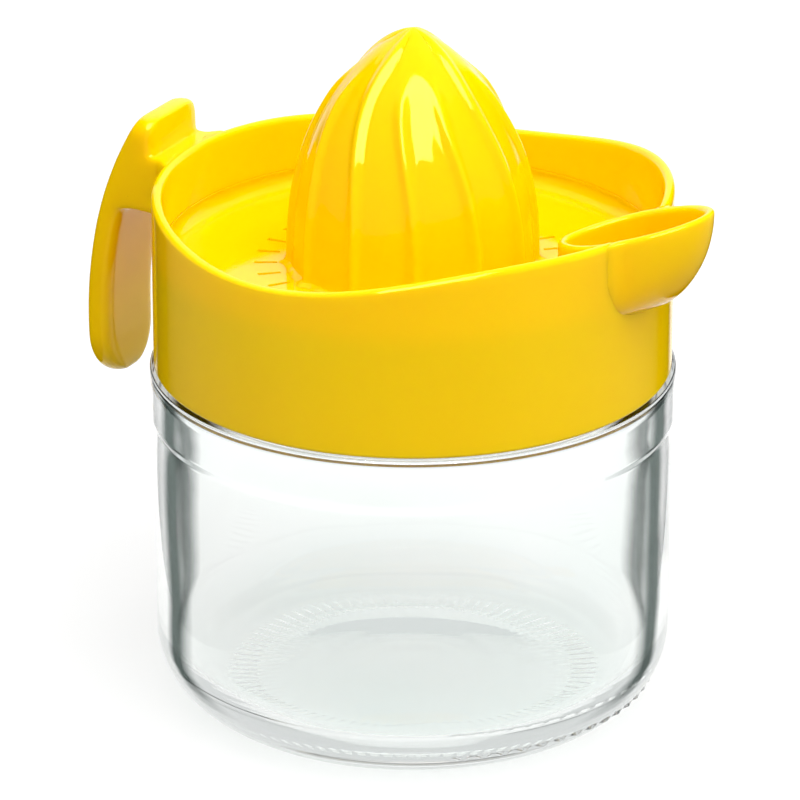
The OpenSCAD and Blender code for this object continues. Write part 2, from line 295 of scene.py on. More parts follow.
def draw_outline(bm, points, closed, turned=0.0):
    """An outline of vertices and edges in the upright plane at an angle round the axis."""
    c, s = math.cos(turned), math.sin(turned)
    verts = [bm.verts.new((p.x * c, p.x * s, p.y)) for p in points]
    for pair in zip(verts, verts[1:]):
        bm.edges.new(pair)
    if closed:
        bm.edges.new((verts[-1], verts[0]))
    return verts


def add_rows(points, spacing, chosen):
    """Cuts the chosen stretches of an outline into rows no further apart than spacing."""
    slack = 0.001
    rows = points[:1]
    for a, b in zip(points, points[1:]):
        cuts = max(1, math.ceil((b - a).length / spacing - slack)) if chosen((a + b) / 2) else 1
        rows += [a.lerp(b, k / cuts) for k in range(1, cuts + 1)]
    return rows


def spin_round(bm, columns, sweep=FULL_TURN, wedges=30):
    """Spins an outline round the axis: one wedge of it, and then copies of that wedge side by side."""
    step = sweep / wedges
    outline = bm.verts[:] + bm.edges[:]
    bmesh.ops.spin(
        bm, geom=outline, cent=(0, 0, 0), axis=(0, 0, 1), angle=step, steps=columns // wedges
    )
    wedge = bm.verts[:] + bm.edges[:] + bm.faces[:]
    for k in range(1, wedges):
        made = bmesh.ops.duplicate(bm, geom=wedge)["geom"]
        turn = Matrix.Rotation(k * step, 3, "Z")
        bmesh.ops.rotate(bm, verts=of_kind(made, BMVert), cent=(0, 0, 0), matrix=turn)
    close_up(bm)


def close_up(bm):
    """Merges doubles and turns the faces outwards."""
    bmesh.ops.remove_doubles(bm, verts=bm.verts, dist=MERGE)
    bmesh.ops.recalc_face_normals(bm, faces=bm.faces)


def of_kind(geometry, kind):
    """The vertices, edges or faces of a bmesh operator's result."""
    return [g for g in geometry if isinstance(g, kind)]


def loft(bm, rings, ring_joined=False):
    """Extrudes a circle through rings of points, then closes its ends or joins the last to the first."""
    order = bm.verts.layers.int.new("order")
    level = bm.verts.layers.int.new("level")
    verts = bmesh.ops.create_circle(bm, segments=len(rings[0]), radius=1)["verts"]
    for i, v in enumerate(verts):
        v[order] = i
        v.co = rings[0][i]
    edges = list({e for v in verts for e in v.link_edges})
    first = edges
    for k, ring in enumerate(rings[1:]):
        made = bmesh.ops.extrude_edge_only(bm, edges=edges)["geom"]
        verts = set(of_kind(made, BMVert))
        edges = [e for e in of_kind(made, BMEdge) if all(v in verts for v in e.verts)]
        for v in verts:
            v[level] = k + 1
            v.co = ring[v[order]]
    if ring_joined:
        bmesh.ops.bridge_loops(bm, edges=first + edges)
    else:
        bmesh.ops.edgeloop_fill(bm, edges=first)
        bmesh.ops.edgeloop_fill(bm, edges=edges)
    bmesh.ops.recalc_face_normals(bm, faces=bm.faces)


def polar(point):
    """Distance from the axis and angle round it, from 0 to a full turn."""
    return math.hypot(point.x, point.y), math.atan2(point.y, point.x) % FULL_TURN


def around(r, a, z):
    """The point at a distance from the axis, an angle round it and a height."""
    return Vector((r * math.cos(a), r * math.sin(a), z))


def push_out(vert, amount):
    """Moves a vertex away from the axis."""
    r, a = polar(vert.co)
    vert.co = around(r + amount, a, vert.co.z)


def fillet_flare(distance, radius):
    """How far a surface swings out at a distance from the wall that it runs into."""
    d = min(max(distance, 0), radius)
    return radius - math.sqrt(radius**2 - (radius - d) ** 2)


def smooth_step(low, high, value):
    """0 below low, 1 above high and a soft change between them."""
    t = min(max((value - low) / (high - low), 0), 1)
    return t * t * (3 - 2 * t)


def thread_rise(thread, start, a, z):
    """Height of a rounded thread over its wall, at an angle round the axis and a height."""
    rise = 0
    fade_turns = 0.1
    for lap in (a / FULL_TURN, a / FULL_TURN + 1):
        off = abs(z - start - thread.pitch * lap) / (thread.width / 2)
        if lap <= thread.turns and off < 1:
            fade = min(1, lap / fade_turns, (thread.turns - lap) / fade_turns)
            rise = max(rise, fade * math.cos(off * HALF_TURN / 2) ** 2)
    return thread.depth * rise


def link_mesh(bm, name, material):
    """A new object that holds a bmesh, linked to the scene."""
    mesh = bpy.data.meshes.new(name)
    bm.to_mesh(mesh)
    bm.free()
    mesh.materials.append(material)
    made = bpy.data.objects.new(name, mesh)
    bpy.context.scene.collection.objects.link(made)
    return made


# Materials


class Wire:
    """A socket whose sums and products become Math nodes."""

    def __init__(self, graph, socket):
        self.graph = graph
        self.socket = socket

    def __add__(self, other):
        return self.graph.maths("ADD", self, other)

    def __sub__(self, other):
        return self.graph.maths("SUBTRACT", self, other)

    def __rsub__(self, other):
        return self.graph.maths("SUBTRACT", other, self)

    def __mul__(self, other):
        return self.graph.maths("MULTIPLY", self, other)

    __radd__ = __add__
    __rmul__ = __mul__


class Graph:
    """A node tree that is filled through one method."""

    def __init__(self, tree):
        self.tree = tree
        tree.nodes.clear()

    def node(self, kind, settings=None, **values):
        """Adds a node: its settings first, then its sockets' values or wires, by name or by number."""
        made = self.tree.nodes.new("ShaderNode" + kind)
        for key, value in (settings or {}).items():
            setattr(made, key, value)
        for key, value in values.items():
            place = int(key[1:]) if key[0] == "_" else key.replace("_", " ")
            if isinstance(value, Wire):
                self.tree.links.new(value.socket, made.inputs[place])
            elif isinstance(made.inputs[place].default_value, float):
                made.inputs[place].default_value = value
            else:
                size = len(made.inputs[place].default_value)
                made.inputs[place].default_value = (*value, 1)[:size]
        return made

    def wire(self, kind, output=0, settings=None, **values):
        """Adds a node and gives one of its outputs as a wire."""
        return Wire(self, self.node(kind, settings, **values).outputs[output])

    def maths(self, operation, a, b):
        """A Math node for two values or wires."""
        return self.wire("Math", settings={"operation": operation}, _0=a, _1=b)

    def noise(self, place, scale, detail):
        """Noise from 0 to 1 over a place."""
        return self.wire("TexNoise", Vector=place, Scale=scale, Detail=detail)

    def blend(self, factor, a, b):
        """A colour between two colours."""
        return self.wire("Mix", 2, {"data_type": "RGBA"}, _0=factor, _6=a, _7=b)

    def mix(self, factor, a, b):
        """A shader between two shaders."""
        return self.wire("MixShader", _0=factor, _1=a, _2=b)

    def ranged(self, value, low, high):
        """A value brought from low and high to 0 and 1."""
        return self.wire("MapRange", Value=value, From_Min=low, From_Max=high)

    def rays(self, *kinds):
        """Outputs of a Light Path node."""
        path = self.node("LightPath")
        return [Wire(self, path.outputs[kind]) for kind in kinds]


def new_material(name):
    """An empty material, its graph and the place on the piece."""
    material = bpy.data.materials.new(name)
    material.use_nodes = True
    graph = Graph(material.node_tree)
    return material, graph, graph.wire("TexCoord", "Object")


def yellow_plastic(finish):
    """Glossy moulded plastic: flow clouds in the pigment, faint orange peel and hairline scuffs."""
    known = bpy.data.materials.get("moulded_plastic")
    if known:
        return known
    material, graph, place = new_material("moulded_plastic")
    polish, wear = 0.045, 0.035
    cloud = graph.ranged(graph.noise(place, scale=28, detail=3), low=0.35, high=0.7)
    peel = graph.noise(place, scale=900, detail=2)
    scuff = graph.ranged(graph.noise(place, scale=160, detail=6), low=0.45, high=0.75)
    surface = graph.wire(
        "BsdfPrincipled",
        Base_Color=graph.blend(cloud, finish.yellow, finish.yellow_deep),
        Roughness=polish + wear * scuff,
        IOR=1.49,
        Specular_Tint=(1, 0.8, 0.15),
        Subsurface_Weight=0.55,
        Subsurface_Radius=(1, 1, 0.05),
        Subsurface_Scale=3 * MM,
        Normal=graph.wire("Bump", Strength=0.04, Distance=0.4 * MM, Height=peel),
    )
    graph.node("OutputMaterial", Surface=surface)
    return material


def clear_glass(finish):
    """Clear pressed glass with greener streaks, a faint ripple in its skin, painted dark upright edges and
    a painted pale glow where a ray is caught inside.
    """
    material, graph, place = new_material("pressed_glass")
    ior, haziness, waver = 1.5, 0.012, 0.14
    # Ray depth past which a ray ends on a painted glow, and that glow's strength
    last_bounce, painted_glow_strength = 5.5, 0.7
    streak = graph.ranged(graph.noise(place, scale=22, detail=2), low=0.4, high=0.7)
    haze = graph.noise(place, scale=70, detail=4)
    ripple = graph.noise(place, scale=45, detail=1)
    surface = graph.wire(
        "BsdfPrincipled",
        Base_Color=graph.blend(streak, finish.glass, finish.glass_tint_and_glow),
        Roughness=haziness * haze,
        IOR=ior,
        Transmission_Weight=1.0,
        Normal=graph.wire("Bump", Strength=0.12, Distance=0.6 * MM, Height=ripple),
    )

    # Painted shade: a dark band a little inside the outline, only where the wall stands upright, in place
    # of dark surroundings seen through the glass
    facing = graph.wire("LayerWeight", "Facing", Blend=0.5)
    facing = facing + waver * (graph.noise(place, scale=24, detail=2) - 0.5)
    painted_edge_band = graph.ranged(facing, low=0.54, high=0.64) * (1 - graph.ranged(facing, low=0.7, high=0.76))
    normal = graph.wire("NewGeometry", "Normal")
    lean = graph.maths("ABSOLUTE", graph.wire("SeparateXYZ", "Z", Vector=normal), 0)
    edge = painted_edge_band * (1 - graph.ranged(lean, low=0.15, high=0.45))
    # The painted dark edge: a dark refraction mixed in over the band
    dark = graph.wire("BsdfRefraction", Color=finish.glass_painted_edge, IOR=ior, Roughness=0.0)
    surface = graph.mix(edge, surface, dark)

    # Light passes straight through, and a ray that is caught inside ends on a painted pale glow
    shadow, diffuse, depth = graph.rays("Is Shadow Ray", "Is Diffuse Ray", "Ray Depth")
    painted_glow = graph.wire("Emission", Color=finish.glass_tint_and_glow, Strength=painted_glow_strength)
    surface = graph.mix(graph.maths("GREATER_THAN", depth, last_bounce), surface, painted_glow)
    clear = graph.wire("BsdfTransparent", Color=finish.glass_shadow)
    graph.node("OutputMaterial", Surface=graph.mix(shadow + diffuse, surface, clear))
    return material


def soft_gasket(finish):
    """Matt milky silicone with a dusty bloom."""
    material, graph, place = new_material("milky_silicone")
    matt, bloom = 0.5, 0.2
    dust = graph.ranged(graph.noise(place, scale=240, detail=5), low=0.4, high=0.7)
    surface = graph.wire(
        "BsdfPrincipled",
        Base_Color=graph.blend(dust, finish.rubber, finish.rubber_deep),
        Roughness=matt + bloom * dust,
        Normal=graph.wire("Bump", Strength=0.1, Distance=0.3 * MM, Height=dust),
    )
    graph.node("OutputMaterial", Surface=surface)
    return material


MATERIALS = {"yellow_plastic": yellow_plastic, "clear_glass": clear_glass, "soft_gasket": soft_gasket}


# Pieces


def make_piece(bm, name, body, node, slot):
    """Turns a bmesh into a piece that rides on a body and stands for a node."""
    piece = link_mesh(bm, name, MATERIALS[slot](bpy.context.scene.juicer_finish))
    piece.data.shade_smooth()
    piece.data.set_sharp_from_angle(angle=SHARP)
    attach(piece, body)
    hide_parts(node)
    return piece


class JUICER_OT_glass_jar(bpy.types.Operator):
    """Spins the glass jar, with its thread, foot bars and heel dots"""

    bl_idname = "juicer.glass_jar"
    bl_label = "Glass jar"

    columns = 360

    # Roundings along the outline, the push-up's as a multiple of its slope
    punt_round = 8
    foot_round = 6 * MM
    taper_round = 2.5 * MM
    band_round = 2 * MM
    shoulder_round = 0.5 * MM
    neck_round = 1 * MM
    lip_round = 0.8 * MM
    mouth_round = 3 * MM
    inside_round = 2.4 * MM

    # Distances between the rows on the thread, the heel, the foot and everywhere
    thread_row = 0.4 * MM
    heel_row = 0.6 * MM
    foot_row = 0.8 * MM
    plain_row = 4 * MM

    # Height up to which the foot has bars, and width over which they fade
    bar_h = 1 * MM
    bar_fade = 1 * MM

    # Start, spacing and slope of the row of dots, and how near the heel's arc a vertex has to lie
    dots_from = math.radians(-50)
    dot_spacing = math.radians(5)
    dot_slope = math.radians(-36)
    heel_slack = 0.01 * MM

    # The ripple's distance from the shoulder, its reach in walls, and its scale and change inwards
    calm_h = 4 * MM
    ripple_reach = 1.5
    ripple_scale = 42
    ripple_change = 900

    def execute(self, context):
        jar = self.jar = context.scene.juicer_jar
        self.panel_r = jar.band_r - jar.band_step
        self.foot_r = self.panel_r - jar.heel_r
        self.ring_r = self.foot_r - jar.foot_w
        bm = bmesh.new()
        self.draw_profile(bm)
        spin_round(bm, self.columns)
        for v in bm.verts:
            self.shape(v, context.scene.juicer_thread)
        bmesh.ops.recalc_face_normals(bm, faces=bm.faces)
        make_piece(bm, "pressed_jar", "jar", "glass_jar", "clear_glass")
        return {"FINISHED"}

    def draw_profile(self, bm):
        """The jar's outline from the middle of its underside round to the middle of its inner floor."""
        jar, panel_r, ring_r = self.jar, self.panel_r, self.ring_r
        inner_r = panel_r - jar.wall
        mouth_r = jar.neck_r - jar.neck_wall
        band_z = jar.shoulder_z - jar.band_h
        inside_z = jar.shoulder_z - jar.band_h / 4
        corners = [
            (0, jar.punt_rise, 0),
            (ring_r - jar.punt_slope, jar.punt_rise, self.punt_round * jar.punt_slope),
            (ring_r, 0, self.foot_round),
            (panel_r, 0, jar.heel_r),
            (panel_r, band_z - jar.band_taper, self.taper_round),
            (jar.band_r, band_z, self.band_round),
            (jar.band_r, jar.shoulder_z, self.shoulder_round),
            (jar.neck_r, jar.shoulder_z, self.neck_round),
            (jar.neck_r, jar.lip_z, self.lip_round),
            (mouth_r, jar.lip_z, self.lip_round),
            (mouth_r, jar.shoulder_z, self.mouth_round),
            (inner_r, inside_z, self.inside_round),
            (inner_r, jar.base_t, jar.inner_round),
            (0, jar.base_t, 0),
        ]
        rows = (
            (self.thread_row, lambda middle: abs(middle.x - jar.neck_r) < MERGE),
            (self.heel_row, lambda middle: middle.y < jar.heel_r and middle.x > inner_r - MM),
            (self.foot_row, lambda middle: middle.y < self.bar_h and middle.x > ring_r),
            (self.plain_row, lambda middle: True),
        )
        points = rounded(corners)
        for spacing, chosen in rows:
            points = add_rows(points, spacing, chosen)
        draw_outline(bm, points, closed=False)

    def shape(self, v, thread):
        """Raises thread, foot bars and heel dots, and ripples the walls."""
        jar, fade = self.jar, self.bar_fade
        r, a = polar(v.co)
        if abs(r - jar.neck_r) < MERGE:
            push_out(v, thread_rise(thread, thread.jar_z, a, v.co.z))
        on_foot = smooth_step(self.ring_r - fade, self.ring_r + fade, r)
        on_foot *= 1 - smooth_step(self.foot_r + fade, self.foot_r + 3 * fade, r)
        if v.co.z < self.bar_h:
            v.co.z += on_foot * jar.knurl_rise * (0.5 - 0.5 * math.cos(jar.knurl_count * a))
        heel = Vector((r - self.foot_r, v.co.z - jar.heel_r))
        if abs(heel.length - jar.heel_r) < self.heel_slack and heel.x > 0 > heel.y:
            v.co += self.dot_height(r, a, heel) * around(heel.x, a, heel.y).normalized()
        wall = smooth_step(jar.base_t, jar.heel_r + jar.base_t, v.co.z)
        wall *= 1 - smooth_step(jar.shoulder_z - jar.band_h, jar.shoulder_z - self.calm_h, v.co.z)
        if wall > 0 and r > self.panel_r - self.ripple_reach * jar.wall:
            place = v.co * self.ripple_scale + Vector((r * self.ripple_change, 0, 0))
            push_out(v, wall * jar.ripple * noise.noise(place))

    def dot_height(self, r, a, heel):
        """Height of the dots along the heel at one place."""
        jar, spacing = self.jar, self.dot_spacing
        past = a - self.dots_from
        nearest = round(((past + HALF_TURN) % FULL_TURN - HALF_TURN) / spacing)
        if not 0 <= nearest < jar.dot_count:
            return 0
        across = r * ((past - nearest * spacing + HALF_TURN) % FULL_TURN - HALF_TURN)
        along = jar.heel_r * (math.atan2(heel.y, heel.x) - self.dot_slope)
        return jar.dot_rise * max(0, 1 - (across**2 + along**2) / jar.dot_r**2)


class JUICER_OT_sealing_gasket(bpy.types.Operator):
    """Spins the soft ring between the jar's lip and the collar's ledge"""

    bl_idname = "juicer.sealing_gasket"
    bl_label = "Sealing gasket"

    columns = 180

    def execute(self, context):
        gasket = context.scene.juicer_gasket
        low, high, edge = gasket_low.z, gasket_high.z, gasket.edge
        bm = bmesh.new()
        corners = [
            (gasket.bore_r, low, edge),
            (gasket.radius, low, edge),
            (gasket.radius, high, edge),
            (gasket.bore_r, high, edge),
        ]
        draw_outline(bm, rounded(corners), closed=True)
        spin_round(bm, self.columns)
        make_piece(bm, "gasket_ring", "gasket", "sealing_gasket", "soft_gasket")
        return {"FINISHED"}


def rim_height(collar, a):
    """Height of the bowl's rim at an angle round the axis, counted from the spout."""
    waves = (collar.wave_1, collar.wave_2, collar.wave_3, collar.wave_4)
    return collar.rim_z + sum(w * math.cos((k + 1) * a) for k, w in enumerate(waves))


def loop_z(collar, spout, x):
    """Height of the plane that the spout's edge lies in."""
    return rim_height(collar, 0) + spout.lift + math.tan(spout.tilt) * (x - collar.radius)


def spout_point(spout, a, shrink, tip, bulge):
    """A point of the spout's outline from above, taken in by shrink. Tip and bulge shape its outer half."""
    c, s = math.cos(a), math.sin(a)
    power = 2 / (bulge if c > 0 else THROAT_POWER)
    reach = tip - spout.widest_x if c > 0 else spout.widest_x - spout.throat_x
    x = spout.widest_x + math.copysign((reach - shrink) * abs(c) ** power, c)
    return x, math.copysign((spout.half_w - shrink) * abs(s) ** power, s)


class JUICER_OT_collar_wall(bpy.types.Operator):
    """Spins the screw collar and the bowl's wall, and gives the rim its wave"""

    bl_idname = "juicer.collar_wall"
    bl_label = "Collar and bowl wall"

    columns = 360
    thread_row = 0.4 * MM
    wall_row = 1.2 * MM

    # Roundings of the edges and, as a share of the wall, of the rim
    edge = 0.4 * MM
    rim_share = 0.48

    # Where the spout passes: distance from its sides in walls, rise of the cut towards them, and what
    # is left above the cut
    side_share = 0.6
    cut_rise = 5.9 * MM
    cut_power = 3
    left_share = 0.02

    def execute(self, context):
        collar = context.scene.juicer_collar
        spout = context.scene.juicer_spout
        thread = context.scene.juicer_thread
        bore_r = collar.radius - collar.wall
        bm = bmesh.new()
        self.draw_profile(bm, collar, bore_r)
        spin_round(bm, self.columns)
        for v in bm.verts:
            r, a = polar(v.co)
            if abs(r - bore_r) < MERGE and v.co.z < gasket_high.z:
                push_out(v, -thread_rise(thread, thread.collar_z, a, v.co.z))
            if r > bore_r - MERGE and v.co.z > collar.hold_z:
                share = (v.co.z - collar.hold_z) / (collar.rim_z - collar.hold_z)
                v.co.z += share * (rim_height(collar, a) - collar.rim_z)
            self.open_spout(v, collar, spout)
        bmesh.ops.recalc_face_normals(bm, faces=bm.faces)
        make_piece(bm, "collar_wall", "collar", "collar_bowl", "yellow_plastic")
        return {"FINISHED"}

    def draw_profile(self, bm, collar, bore_r):
        """The outline of skirt, wall, rim and ledge."""
        edge, rim = self.edge, self.rim_share * collar.wall
        corners = [
            (collar.ledge_r, gasket_high.z, edge),
            (bore_r, gasket_high.z, edge),
            (bore_r, collar.skirt_z, edge),
            (collar.radius, collar.skirt_z, 2 * edge),
            (collar.radius, collar.rim_z, rim),
            (bore_r, collar.rim_z, rim),
            (bore_r, reamer_low.z, edge),
            (collar.ledge_r, reamer_low.z, edge),
        ]
        rows = (
            (self.thread_row, lambda middle: abs(middle.x - bore_r) < MERGE and middle.y < gasket_high.z),
            (self.wall_row, lambda middle: middle.x > bore_r - MERGE),
        )
        points = rounded(corners)
        for spacing, chosen in rows:
            points = add_rows(points, spacing, chosen)
        draw_outline(bm, points, closed=True)

    def open_spout(self, v, collar, spout):
        """Lowers the wall to the middle of the spout's own wall, where the spout passes through it."""
        side = spout.half_w - self.side_share * spout.wall
        if v.co.x < spout.widest_x - spout.wall or abs(v.co.y) > side:
            return
        keel_z = loop_z(collar, spout, collar.radius) - spout.drop
        cut_z = keel_z + spout.wall / 2 + self.cut_rise * (abs(v.co.y) / spout.half_w) ** self.cut_power
        if v.co.z > cut_z:
            v.co.z = cut_z + self.left_share * (v.co.z - cut_z)


class JUICER_OT_pouring_spout(bpy.types.Operator):
    """Lofts the pouring spout: hull, rolled edge, trough and throat"""

    bl_idname = "juicer.pouring_spout"
    bl_label = "Pouring spout"

    points = 480
    levels = 44
    edge_steps = 8
    throat_edge = 0.6 * MM

    # How the tip draws in and sharpens on its way down, and how the levels crowd at the edge
    tip_power = 0.6
    sharpening = 0.9
    crowding = 1.5

    # Height over which the fillet grows above the keel, in fillets
    flare_reach = 4

    def execute(self, context):
        self.collar = context.scene.juicer_collar
        self.spout = context.scene.juicer_spout
        bm = bmesh.new()
        loft(bm, self.rings(), ring_joined=True)
        bm.normal_update()
        self.flare(bm)
        bmesh.ops.recalc_face_normals(bm, faces=bm.faces)
        make_piece(bm, "pouring_spout", "collar", "collar_bowl", "yellow_plastic")
        return {"FINISHED"}

    def plan(self, shrink, tip, bulge):
        """The spout's whole outline seen from above."""
        turns = [FULL_TURN * i / self.points for i in range(self.points)]
        return [spout_point(self.spout, a, shrink, tip, bulge) for a in turns]

    def skin(self, u, floor_z, keel, shrink):
        """One ring of the hull or the trough, a share u of the way down from the edge to the floor."""
        collar, spout = self.collar, self.spout
        k = min(1, u / keel)
        tip = collar.radius + (spout.tip_x - collar.radius) * (1 - k * k) ** self.tip_power
        tip = max(tip, collar.radius - collar.wall / 2 + shrink)
        edge = spout.wall / 2
        return [
            Vector((x, y, (loop_z(collar, spout, x) - edge) * (1 - u) + floor_z * u))
            for x, y in self.plan(shrink, tip, 2 - self.sharpening * k**3)
        ]

    def eased(self, top):
        """Shares from 0 to top, closer together near the edge."""
        return [top * (1 - (1 - k / self.levels) ** self.crowding) for k in range(self.levels + 1)]

    def rings(self):
        """Rings from the hull's foot up to the edge, over it, and down the trough into the throat."""
        collar, spout = self.collar, self.spout
        wall_z = loop_z(collar, spout, collar.radius)
        foot_z = gasket_high.z
        keel = spout.drop / (wall_z - foot_z)
        hull = [self.skin(u, foot_z, keel, 0) for u in [1, *reversed(self.eased(keel))]]
        trough_z = wall_z - spout.drop + spout.wall
        trough = [self.skin(u, trough_z, 1, spout.wall) for u in self.eased(1)]
        return hull + self.edge() + trough + self.throat(trough[-1], foot_z)

    def edge(self):
        """The rolled edge between hull and trough."""
        half = self.spout.wall / 2
        rings = []
        for k in range(1, self.edge_steps):
            a = HALF_TURN * k / self.edge_steps
            plan = self.plan(half * (1 - math.cos(a)), self.spout.tip_x, 2)
            top = half * (math.sin(a) - 1)
            rings.append([Vector((x, y, loop_z(self.collar, self.spout, x) + top)) for x, y in plan])
        return rings

    def throat(self, floor, foot_z):
        """The hole from the trough's floor down into the jar."""
        limit = self.collar.ledge_r
        edge, between = self.throat_edge, 0.3 * self.throat_edge
        rings = []
        for inset, drop in ((-edge, 0), (-between, between), (0, edge)):
            ring = []
            for p in floor:
                reach = math.sqrt(max(0, (limit - inset) ** 2 - p.y**2))
                ring.append(Vector((min(p.x, reach), p.y, p.z - drop)))
            rings.append(ring)
        rings.append([Vector((p.x, p.y, foot_z)) for p in rings[-1]])
        return rings

    def flare(self, bm):
        """Swings the hull's sides round the axis where they run into the bowl's wall."""
        collar, fillet = self.collar, self.spout.fillet
        keel_z = loop_z(collar, self.spout, collar.radius) - self.spout.drop
        for v in bm.verts:
            r, a = polar(v.co)
            if r > collar.radius - collar.wall and v.normal.y * v.co.y > 0:
                off = abs(v.normal.y) * fillet_flare(r - collar.radius, fillet)
                off *= smooth_step(keel_z, keel_z + self.flare_reach * fillet, v.co.z)
                v.co = around(r, a + math.copysign(off, v.co.y) / r, v.co.z)


class JUICER_OT_handle_strap(bpy.types.Operator):
    """Lofts the handle's strap, draws its web out to the bowl and smooths both"""

    bl_idname = "juicer.handle_strap"
    bl_label = "Handle"

    # Angles in degrees along the round free end and the thumb rest's corners, and shares of the thickness
    end_rows = ((12, 0.55), (30, 0.9), (52, 1), (74, 1), (90, 1))
    corner_rows = ((15, 1), (50, 1), (86, 0.85))
    straight_steps = 4

    # Rows of the web as shares of its height below its top, and how far they sag at the wall, in fillets
    web_shares = (1, 0.75, 0.25, 0)
    web_sags = (1, 0.3, 0, 0)
    room_under = 3.5 * MM
    room_over = 2.4 * MM
    sunk_share = 0.7

    # Most that an edge takes of half the width and half the thickness, and where a face's flat part ends
    edge_of_width = 0.4
    edge_of_thickness = 0.6
    flat_share = 0.55
    smoothing = 3

    def execute(self, context):
        self.handle = context.scene.juicer_handle
        self.collar = context.scene.juicer_collar
        bm = bmesh.new()
        rows = self.rows()
        loft(bm, [self.section(*row) for row in rows])
        self.draw_web(bm, [row[0] for row in rows])
        bmesh.ops.rotate(bm, verts=bm.verts, matrix=Matrix.Rotation(HALF_TURN, 3, "Z"))
        bmesh.ops.recalc_face_normals(bm, faces=bm.faces)
        piece = make_piece(bm, "handle_strap", "collar", "collar_bowl", "yellow_plastic")
        rounding = piece.modifiers.new("rounding", "SUBSURF")
        rounding.levels = rounding.render_levels = self.smoothing
        return {"FINISHED"}

    def web_rows(self):
        """Heights of the web's rows, from its underside to its top."""
        top = rim_height(self.collar, HALF_TURN)
        return [top - share * self.handle.web_h for share in self.web_shares]

    def rows(self):
        """Heights of the strap's sections, with half their width and half their thickness."""
        handle = self.handle
        half = handle.width / 2 + handle.grow
        thick = handle.thickness / 2 + handle.grow
        low_z, top_z = handle.low_z - 2 * handle.grow, handle.top_z + 2 * handle.grow
        rows = []
        for degrees, share in self.end_rows:
            a = math.radians(degrees)
            rows.append((low_z + half * (1 - math.cos(a)), half * math.sin(a), thick * share))
        web = self.web_rows()
        straight = rows[-1][0]
        steps = self.straight_steps
        rows += [(straight + (web[0] - straight) * k / steps, half, thick) for k in range(1, steps)]
        rows += [(z, half, thick) for z in [web[0] - self.room_under, *web, web[-1] + self.room_over]]
        for degrees, share in self.corner_rows:
            a = math.radians(degrees)
            width = half - handle.corner * (1 - math.cos(a))
            rows.append((top_z - handle.corner * (1 - math.sin(a)), width, thick * share))
        return rows

    def section(self, z, half, thick):
        """12 points of a section, inner face last, square to the bow or level at the thumb rest."""
        handle = self.handle
        middle_r = handle.bow - handle.thickness / 2
        centre = Vector((handle.reach - handle.bow, 0, handle.top_z - handle.bow_drop))
        a = math.asin((z - centre.z) / middle_r)
        middle = centre + middle_r * Vector((math.cos(a), 0, math.sin(a)))
        top = rim_height(self.collar, HALF_TURN)
        rest = smooth_step(top - 2 * handle.corner, top, z)
        tilt = a * (1 - rest)
        out = Vector((math.cos(tilt), 0, math.sin(tilt)))
        edge = min(handle.edge, self.edge_of_width * half, self.edge_of_thickness * thick)
        quarter = [(half, thick - edge), (half - edge, thick), (self.flat_share * half, thick)]
        outer = quarter + [(-y, t) for y, t in reversed(quarter)]
        deeper = rest * (middle.x - thick - handle.thumb_x)
        inner = [(y, -t - deeper) for y, t in reversed(outer)]
        return [middle + out * t + Vector((0, y, 0)) for y, t in outer + inner]

    def draw_web(self, bm, heights):
        """Extrudes the strap's inner face to the bowl's wall, and flares it there."""
        order, level = bm.verts.layers.int["order"], bm.verts.layers.int["level"]
        web = self.web_rows()
        first = heights.index(web[0])
        rows = range(first, first + len(web))
        inner = range(6, 12)
        faces = [f for f in bm.faces if all(v[order] in inner and v[level] in rows for v in f.verts)]
        half = self.handle.width / 2
        for place in ("strap", "near", "wall", "sunk"):
            made = bmesh.ops.extrude_face_region(bm, geom=faces)["geom"]
            bmesh.ops.delete(bm, geom=faces, context="FACES_ONLY")
            faces = of_kind(made, BMFace)
            for v in of_kind(made, BMVert):
                row = v[level] - first
                self.place_web(v, place, row, web[row], half)

    def place_web(self, v, place, row, z, half):
        """Puts one vertex of the web at its place between strap and wall."""
        fillet, wall_r = self.handle.fillet, self.collar.radius
        room = v.co.x - math.sqrt(wall_r**2 - v.co.y**2)
        if place == "strap":
            v.co.x -= min(fillet, room / 3)
            v.co.z = z
            return
        if place == "wall":
            v.co.y *= 1 + fillet / half
            v.co.z -= fillet * self.web_sags[row]
        sunk = -self.sunk_share * self.collar.wall
        beyond = {"near": min(fillet, room / 2), "wall": 0, "sunk": sunk}[place]
        v.co.x = math.sqrt(wall_r**2 - v.co.y**2) + beyond


def cone_share(reamer, t):
    """Share of its foot's radius that the cone has at a share t of its height."""
    return max(0, 1 - t**reamer.power) ** reamer.blunt


def seam_r(reamer):
    """Radius at which the cone and the floor meet."""
    return reamer.cone_r - reamer.ridge_h - reamer.cone_wall / 2


